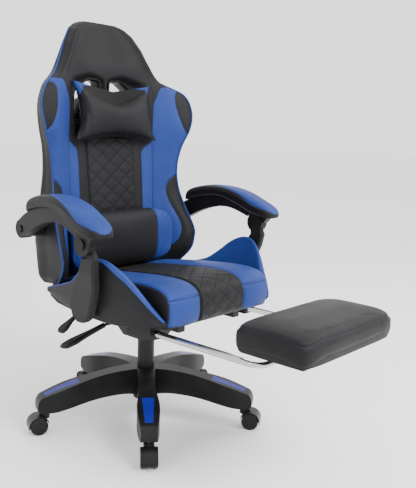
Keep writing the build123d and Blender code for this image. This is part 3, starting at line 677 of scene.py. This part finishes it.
def wing(side):
    """The wing's skin and the line of its piping, for side 1 (left) or -1 (right)."""
    run = np.linspace(0, len(WING) - 1, 130)
    y, corners = wing_rings(run)
    corners = np.concatenate([corners, corners[:3]])
    place_on = np.linspace(1, 11, 97)[:-1]
    ring = through(corners, place_on).transpose(1, 0, 2)
    to_end = np.minimum(run, run[-1] - run)
    ends = np.sqrt(np.clip(1 - (1 - to_end / 0.6) ** 2, 0.0, 1))
    ends = np.where(to_end < 0.6, np.maximum(ends, 0.25), 1)
    heart = ring.mean(1, keepdims=True)
    ring = heart + (ring - heart) * ends[:, None, None]
    points = np.stack([ring[..., 0] * side, np.repeat(y[:, None], ring.shape[1], 1), ring[..., 1]], -1)
    split = 4.72 - 0.60 * (1 - step(4.5, 7.5, run))
    patch = np.where(place_on[None] < 1.0, -0.02, (place_on[None] - split[:, None]) * 0.02)
    patch = np.where(place_on[None] > 9.6, -0.02, patch)
    seam = np.repeat((np.abs(place_on - 3.0) * 0.05 + 0.01)[None], len(run), 0)
    name = f"wing_cover_{'left' if side > 0 else 'right'}"
    skin = outward(surface(name, points, extras={"patch": patch, "seam": seam}))
    column = (split - 1) / (place_on[1] - place_on[0])
    low, share = column.astype(int), (column % 1)[:, None]
    rows = np.arange(len(run))
    edge = points[rows, low] * (1 - share) + points[rows, low + 1] * share
    return skin, edge


for side, word in ((-1, "right"), (1, "left")):
    skin, edge = wing(side)
    skin.data.materials.append(panel_leather)
    place(skin, "seat", "blue_leather", f"seat_wing_{word}")
    welt = tube(f"wing_piping_{word}", edge[3:-3], 0.0024)
    welt.data.materials.append(blue_leather)
    place(welt, "seat", "blue_leather")
print("wings:", len(skin.data.polygons), "faces each")

# %% [markdown]
# ## Pillows
# Both loose pillows are stuffed with fibre. A stuffed cover is widest in the middle and pulls in
# between its corners, because the cloth has no spare length along the seams. Each starts as a plain
# lens-shaped bag and is then blown up by a short cloth simulation, with the movement capped so that it
# stays in the room it has.

# %% Blow up a padded piece
def inflate(piece, pressure=4.0, cap=0.006, frames=20):
    """Cloth simulation with inner pressure and no gravity; each point moves by no more than cap."""
    start = np.empty(len(piece.data.vertices) * 3, np.float32)
    piece.data.vertices.foreach_get("co", start)
    cloth = piece.modifiers.new("stuffing", "CLOTH")
    cloth.settings.use_pressure = True
    cloth.settings.uniform_pressure_force = pressure
    cloth.settings.effector_weights.gravity = 0.0
    cloth.settings.quality = 5
    cloth.settings.mass = 0.3
    cloth.settings.bending_stiffness = 0.4
    cloth.point_cache.frame_end = frames
    for number in range(1, frames + 1):
        bpy.context.scene.frame_set(number)
    view = bpy.context.evaluated_depsgraph_get()
    blown = np.empty_like(start)
    piece.evaluated_get(view).data.vertices.foreach_get("co", blown)
    bpy.context.scene.frame_set(1)
    piece.modifiers.remove(cloth)
    move = (blown - start).reshape(-1, 3)
    length = np.linalg.norm(move, axis=1, keepdims=True)
    move *= np.minimum(1, cap / np.maximum(length, 1e-9))
    piece.data.vertices.foreach_set("co", (start.reshape(-1, 3) + move).ravel())
    piece.data.update()
    print(piece.name, "moved up to", round(float(length.max()) * 1000, 1), "mm before the cap")


# %% Head pillow
HEAD_MIDDLE = (0.148, 0.908)


def bag(outline_x, outline_z, depth, extras, around=128, tall=90):
    """Two sheets joined at the rim: u runs across, v up, and depth(u, v) is half the thickness."""
    v = -np.cos(np.linspace(0, np.pi, tall))
    angle = np.linspace(0, 2 * np.pi, around, endpoint=False)
    u, v = np.meshgrid(-np.cos(angle), v)
    sheet = np.where(np.sin(angle) >= 0, -1.0, 1.0)[None] * np.ones_like(u)
    x, z = outline_x(u, v), outline_z(u, v)
    y = sheet * depth(u, v)
    more = {key: make(x, y, z, sheet) for key, make in extras.items()}
    return np.stack([x, y, z], -1), more


def pillow_half_width(u, v):
    return u * (0.152 - 0.006 * v - 0.022 * (1 - v**2)) - 0.003 * v


def pillow_height(u, v):
    top = 0.090 - 0.064 * (1 - np.abs(u) ** 1.7)
    foot = 0.083 - 0.024 * (1 - u**2)
    return v * np.where(v > 0, top, foot)


def pillow_depth(u, v):
    fold = 0.0016 * np.sin(38 * u + 3 * v) * (np.abs(u) ** 3) * (1 - v**2)
    return 0.036 * (1 - np.abs(u) ** 2.4) ** 0.62 * (1 - np.abs(v) ** 2.2) ** 0.62 + 0.0015 + fold


def corner_patch(x, y, z, sheet):
    """Positive inside the triangles at the two top corners of the front."""
    from_corner = (np.abs(x) - 0.142) / 0.030 + (z - 0.083) / 0.050 + 1
    return np.minimum(from_corner * 0.03, np.where(sheet < 0, 1, -0.01))


points, extras = bag(pillow_half_width, pillow_height, pillow_depth, {"patch": corner_patch})
points += [0, *HEAD_MIDDLE]
points[..., 1] += 0.115 * (points[..., 2] - 0.908)
extras["seam"] = np.full(points.shape[:2], 0.02)
head = outward(surface("head_pillow_cover", points, extras=extras))
inflate(head, pressure=3.0, cap=0.004)
head.data.materials.append(panel_leather)
place(head, "backrest", "black_leather", "head_pillow")
print("head pillow:", len(head.data.polygons), "faces")

# %% Lumbar pillow
LUMBAR_X = np.array([0.0, 0.066, 0.109, 0.126, 0.142, 0.161, 0.178, 0.188, 0.1925])
LUMBAR_DEEP = np.array([0.0365, 0.0365, 0.036, 0.0345, 0.033, 0.028, 0.019, 0.010, 0.002])
LUMBAR_TALL = np.array([0.0855, 0.086, 0.086, 0.0845, 0.083, 0.077, 0.066, 0.052, 0.040])
LUMBAR_Y = np.array([0.1115, 0.1115, 0.110, 0.109, 0.107, 0.102, 0.095, 0.090, 0.088])
GATHER_X = 0.122
LUMBAR_SHIFT = -0.008


def lumbar():
    """Rounded-box ring across the body, carried along x, with gathers in the blue ends."""
    run = np.linspace(-8, 8, 190)
    table = np.stack([LUMBAR_X, LUMBAR_DEEP, LUMBAR_TALL, LUMBAR_Y], -1)
    wide, deep, tall, middle = through(table, np.abs(run)).T
    angle = np.linspace(0, 2 * np.pi, 120, endpoint=False)
    cos, sin = np.cos(angle), np.sin(angle)
    round_y, round_z = np.sign(cos) * np.abs(cos) ** 0.80, np.sign(sin) * np.abs(sin) ** 0.86
    beyond = np.clip(wide - GATHER_X, 0, 1)
    wave = wide * 2 * np.pi / 0.0105 + 0.8 * np.sin(3 * angle[:, None])
    gather = 0.0014 * np.sin(wave) * step(0.0, 0.012, beyond)
    groove = -0.003 * bell(wide - GATHER_X, 0.0028)
    swell = (gather * (0.6 + 0.4 * np.cos(2 * angle[:, None])) + groove).T
    x = np.repeat((np.sign(run) * wide)[:, None], 120, 1)
    y = middle[:, None] + (deep[:, None] + swell) * round_y
    z = 0.5375 + (tall[:, None] + swell) * round_z
    patch = np.abs(x) - GATHER_X
    return np.stack([x, y, z], -1), {"patch": patch, "seam": np.full(x.shape, 0.02)}


points, extras = lumbar()
points[..., 0] += LUMBAR_SHIFT
roll = outward(surface("lumbar_pillow_cover", points, extras=extras))
inflate(roll, pressure=2.0, cap=0.002)
roll.data.materials.append(panel_leather)
place(roll, "backrest", "black_leather", "lumbar_pillow")
print("lumbar pillow:", len(roll.data.polygons), "faces")

# %% [markdown]
# ## Armrest pads
# Each pad is soft polyurethane foam on the curved beam: a rounded section carried along the arm, full
# behind and drawn to a blunt nose in front. Pressed lines run along its sides, and a leaf-shaped blue
# panel is let into the top. The arms splay outwards, so the pad is made about x = 0 and turned.

# %% Pad sections along the arm
PAD = np.array([
    (0.1225, 0.6440, 0.638), (0.121, 0.653, 0.6365), (0.113, 0.669, 0.6385), (0.094, 0.6790, 0.645),
    (0.060, 0.6875, 0.6530), (0.020, 0.6925, 0.6585), (-0.030, 0.6920, 0.6580), (-0.075, 0.686, 0.6450),
    (-0.115, 0.6750, 0.629), (-0.150, 0.6605, 0.6145), (-0.182, 0.6460, 0.6070),
    (-0.202, 0.6350, 0.6035), (-0.2125, 0.626, 0.6045), (-0.217, 0.618, 0.6095),
])
PAD_HALF = np.array([
    0.014, 0.024, 0.0295, 0.0320, 0.034, 0.036, 0.038, 0.040, 0.041, 0.040, 0.0370, 0.0320, 0.0230,
    0.010,
])
PAD_INSET = 0.008
LEAF = ([-0.2170, -0.2155, -0.2110, -0.202, -0.185, -0.150, -0.100, -0.040, 0.000, 0.030, 0.060],
        [0.0040, 0.0140, 0.0222, 0.0300, 0.0350, 0.0395, 0.0370, 0.0290, 0.0195, 0.0085, -0.0040])
ARM_REAR_X, ARM_REAR_Y, ARM_FRONT_X, ARM_FRONT_Y = 0.306, 0.163, 0.334, -0.142
SPLAY = np.arctan2(ARM_FRONT_X - ARM_REAR_X, ARM_REAR_Y - ARM_FRONT_Y)


def pad_surface():
    """Section with a domed top, ridged sides and a flat underside, carried along y."""
    run = np.linspace(0, len(PAD) - 1, 150)
    y, top, low = through(PAD, run).T
    half = at_level(np.arange(len(PAD)), PAD_HALF[:, None], run)[:, 0]
    angle = np.linspace(0, 2 * np.pi, 112, endpoint=False)
    cos, sin = np.cos(angle), np.sin(angle)
    side = np.sign(cos) * np.abs(cos) ** 0.55
    rise = np.where(sin > 0, np.abs(sin) ** 0.75, -np.abs(sin) ** 0.35)
    middle = 0.5 * (top + low)
    height = 0.5 * (top - low)
    level = rise[None] * np.ones_like(run)[:, None]
    ridges = bell(level - 0.42, 0.10) + bell(level + 0.05, 0.10) + bell(level + 0.50, 0.10)
    body = step(0, 0.02, 0.121 - y) * step(0, 0.03, y + 0.212)
    x = (half[:, None] - 0.0013 * ridges * body[:, None]) * side
    z = middle[:, None] + height[:, None] * rise
    leaf = at_level(*map(np.array, LEAF), y)[:, None] - np.abs(x)
    leaf = np.where(sin[None] > 0.05, leaf, -np.abs(leaf) - 0.004)
    z = z - 0.0012 * bell(leaf, 0.002) * (sin[None] > 0)
    y = np.repeat(y[:, None], 112, 1)
    return np.stack([x, y, z], -1), leaf


def splayed(points, side):
    """Turn points about the arm's rear pivot line so that the front end goes outwards."""
    x, y = points[..., 0] - PAD_INSET, points[..., 1] - ARM_REAR_Y
    across = x * np.cos(SPLAY) - y * np.sin(SPLAY) + ARM_REAR_X
    along = x * np.sin(SPLAY) + y * np.cos(SPLAY) + ARM_REAR_Y
    return np.stack([across, along, points[..., 2]], -1) * [side, 1, 1]


for side, word in ((-1, "right"), (1, "left")):
    points, leaf = pad_surface()
    seam = np.full(leaf.shape, 0.02)
    marks = {"patch": leaf, "seam": seam}
    pad = outward(surface(f"arm_pad_cover_{word}", splayed(points, side), extras=marks))
    pad.data.materials.append(panel_leather)
    place(pad, f"arm_{word}", "black_leather", f"arm_pad_{word}")
print("arm pads:", len(pad.data.polygons), "faces each")

# %% [markdown]
# ## Footrest pad
# A foam slab on a board, covered in plain black. The cover is sewn from a top and a side strip, so a
# seam runs round just under the top edge, the top is crowned and the sides swell a little.

# %% Footrest cover
PAD_X, PAD_FRONT, PAD_REAR, PAD_LOW = 0.194, -0.697, -0.492, 0.3722
FOOT_LEVELS = np.array([
    (0.000, -0.020), (0.0005, -0.003), (0.003, -0.001), (0.014, 0.0015), (0.032, 0.0025),
    (0.046, 0.0015), (0.0525, -0.0015), (0.0555, -0.0035), (0.0585, -0.0035), (0.0635, -0.008),
    (0.0675, -0.016), (0.0700, -0.028), (0.0725, -0.050), (0.0745, -0.075), (0.0755, -0.095),
])


def slab_ring(grow, count=200):
    """Rounded rectangle, as a superellipse, grown by the given distance (negative shrinks it)."""
    angle = np.linspace(0, 2 * np.pi, count, endpoint=False)
    half_x = (PAD_X + grow)[:, None]
    half_y = (0.5 * (PAD_REAR - PAD_FRONT) + grow)[:, None]
    power = 2 / np.interp(grow, [-0.1, -0.03, 0.0], [2.6, 6.0, 9.0])[:, None]
    x = half_x * np.sign(np.cos(angle)) * np.abs(np.cos(angle)) ** power
    y = half_y * np.sign(np.sin(angle)) * np.abs(np.sin(angle)) ** power
    return x, y + 0.5 * (PAD_FRONT + PAD_REAR)


rise, grow = through(FOOT_LEVELS, np.linspace(0, len(FOOT_LEVELS) - 1, 130)).T
x, y = slab_ring(grow)
z = np.repeat((PAD_LOW + rise)[:, None], x.shape[1], 1)
pull = bell(np.abs(x) - PAD_X, 0.03) * bell(np.abs(y + 0.5945) - 0.1025, 0.03)
z = z - 0.004 * pull * step(0.04, 0.06, rise)[:, None]
z = z + 0.0008 * np.sin(140 * x + 60 * y) * step(0.05, 0.07, rise)[:, None] * pull
seam = np.repeat((rise - 0.0570)[:, None], x.shape[1], 1)
marks = {"patch": seam * 0 - 0.02, "seam": seam}
foot = outward(surface("footrest_cover", np.stack([x, y, z], -1), extras=marks))
inflate(foot, pressure=2.0, cap=0.0014)
foot.data.materials.append(panel_leather)
place(foot, "footrest", "black_leather", "footrest_pad")
print("footrest cover:", len(foot.data.polygons), "faces")

# %% [markdown]
# ## Hard parts
# The frame's own parts keep their shapes and only need finishes: nylon with a fine moulded grain, glossy
# caster plastic with scuffs, powder coat with orange peel, chrome, turned steel and plain board.

# %% Hard finishes
def moulded(name, colour, light, grain_scale, roughness, strength=0.25, coat=0.0):
    """Moulded plastic: speckled grain, cloudy gloss and slightly paler scuffs."""
    made = Finish(name, Specular_IOR_Level=0.16)
    speckle = made.noise(grain_scale, 2.0)
    cloud = made.noise(14.0, 4.0)
    tint = made.mix(cloud.rise(0.4, 0.8) * 0.7, colour, light)
    rough = roughness + cloud * 0.14 - 0.07
    return made.finish(tint, rough, [(speckle, strength, 0.0003)], coat=coat)


def coated(name, colour):
    """Powder coat: a fine orange-peel ripple over steel."""
    made = Finish(name, Specular_IOR_Level=0.20)
    peel, cloud = made.noise(420.0, 1.0), made.noise(9.0, 3.0)
    tint = made.mix(cloud, colour, tuple(1.5 * part for part in colour[:3]) + (1,))
    return made.finish(tint, 0.38 + cloud * 0.12, [(peel, 0.18, 0.0003)])


def metal(name, colour, roughness, streak):
    """Bare or plated steel with fine drawn streaks and a little haze."""
    made = Finish(name, Metallic=1.0)
    lines = made.noise(streak, 2.0)
    haze = made.noise(20.0, 3.0)
    tint = made.mix(haze, colour, tuple(0.85 * part for part in colour[:3]) + (1,))
    return made.finish(tint, roughness + lines * 0.05 + haze * 0.05, [(lines, 0.04, 0.0002)])


def board():
    """Dark-stained layered board: stretched noise as grain lines."""
    made = Finish("plain board", Specular_IOR_Level=0.3)
    inputs = {"Vector": made.here(), "Scale": (6.0, 120.0, 240.0)}
    rings = made.noise(1.0, 5.0, made.node("ShaderNodeMapping", {}, inputs, out="Vector"))
    tint = made.mix(rings, (0.022, 0.016, 0.012, 1), (0.040, 0.030, 0.022, 1))
    return made.finish(tint, 0.7, [(rings, 0.2, 0.0005)])


finishes = {
    "base_nylon": moulded("moulded nylon", (0.0055, 0.0055, 0.0060, 1), (0.014, 0.014, 0.015, 1),
                          900.0, 0.42),
    "insert_plastic": moulded("blue plastic", (0.009, 0.014, 0.22, 1), (0.014, 0.022, 0.28, 1),
                              500.0, 0.36),
    "caster_plastic": moulded("caster plastic", (0.007, 0.007, 0.0075, 1), (0.020, 0.020, 0.021, 1),
                              700.0, 0.28, 0.15),
    "wheel_plastic": moulded("wheel plastic", (0.008, 0.008, 0.0085, 1), (0.026, 0.026, 0.027, 1),
                             800.0, 0.34, 0.15),
    "black_plastic": moulded("black plastic", (0.007, 0.007, 0.0075, 1), (0.016, 0.016, 0.017, 1),
                             850.0, 0.46, 0.3),
    "column_paint": coated("column powder coat", (0.009, 0.009, 0.010, 1)),
    "frame_paint": coated("frame powder coat", (0.008, 0.008, 0.009, 1)),
    "bright_steel": metal("bright steel", (0.62, 0.62, 0.63, 1), 0.28, 300.0),
    "chrome": metal("polished chrome", (0.52, 0.52, 0.53, 1), 0.07, 500.0),
    "board_wood": board(),
    "black_leather": black_leather,
    "blue_leather": blue_leather,
}
slot_of = {part["node"]: part["material_slot"] for part in frame["record"]["subparts"]}
for name, piece in frame["nodes"].items():
    for number in range(max(1, len(piece.material_slots))):
        if piece.material_slots:
            piece.material_slots[number].material = finishes[slot_of[name]]
        else:
            piece.data.materials.append(finishes[slot_of[name]])
for piece in strap_frames:
    piece.data.materials.append(finishes["black_plastic"])
print("finished", len(frame["nodes"]), "frame parts")

# %% [markdown]
# ## Floor, light and camera
# A wide pale floor under an even white sky, one wide soft lamp above and in front, and a weaker one
# from each side. The camera stands where a person would, a little left of the chair's front.

# %% Floor
reach = np.linspace(-30.0, 30.0, 60)
sweep = np.stack([*np.meshgrid(reach, reach), np.zeros((60, 60))], -1)
floor = surface("floor", sweep, wrap=False, caps=False)
floor_paint = Finish("pale floor", Roughness=0.9)
floor_paint.finish(floor_paint.mix(floor_paint.noise(3.0), (0.93, 0.93, 0.94, 1), (0.96, 0.96, 0.96, 1)))
floor.data.materials.append(floor_paint.material)

# %% Light
world = bpy.data.worlds.new("studio")
world.use_nodes = True
world.node_tree.nodes["Background"].inputs["Color"].default_value = (1, 1, 1, 1)
world.node_tree.nodes["Background"].inputs["Strength"].default_value = 1.9
bpy.context.scene.world = world


def lamp(name, where, aim, size, watts):
    """Square soft lamp at where, turned to face aim."""
    light = bpy.data.lights.new(name, "AREA")
    light.size, light.energy = size, watts
    holder = bpy.data.objects.new(name, light)
    bpy.context.scene.collection.objects.link(holder)
    holder.location = where
    holder.rotation_euler = (Vector(aim) - Vector(where)).to_track_quat("-Z", "Y").to_euler()


lamp("front lamp", (0.2, -2.7, 2.7), (0, 0, 0.6), 1.4, 150)
lamp("left lamp", (-2.8, 0.2, 1.9), (0, 0, 0.6), 1.4, 6)
lamp("right lamp", (2.4, -0.8, 2.0), (0, 0, 0.6), 1.2, 10)

# %% Camera
camera = bpy.data.cameras.new("camera")
camera.lens, camera.sensor_width = 49.9, 36.0
camera.shift_x, camera.shift_y = 0.0098, -0.0025
viewer = bpy.data.objects.new("camera", camera)
right, up, ahead = (0.67842, -0.73422, 0.02580), (0.10193, 0.12884, 0.98641), (0.72757, 0.66658, -0.16225)
turn = Matrix((right, up, tuple(-part for part in ahead))).transposed().to_4x4()
viewer.matrix_world = Matrix.Translation((-1.3296, -1.4403, 0.8609)) @ turn
bpy.context.scene.collection.objects.link(viewer)
bpy.context.scene.camera = viewer
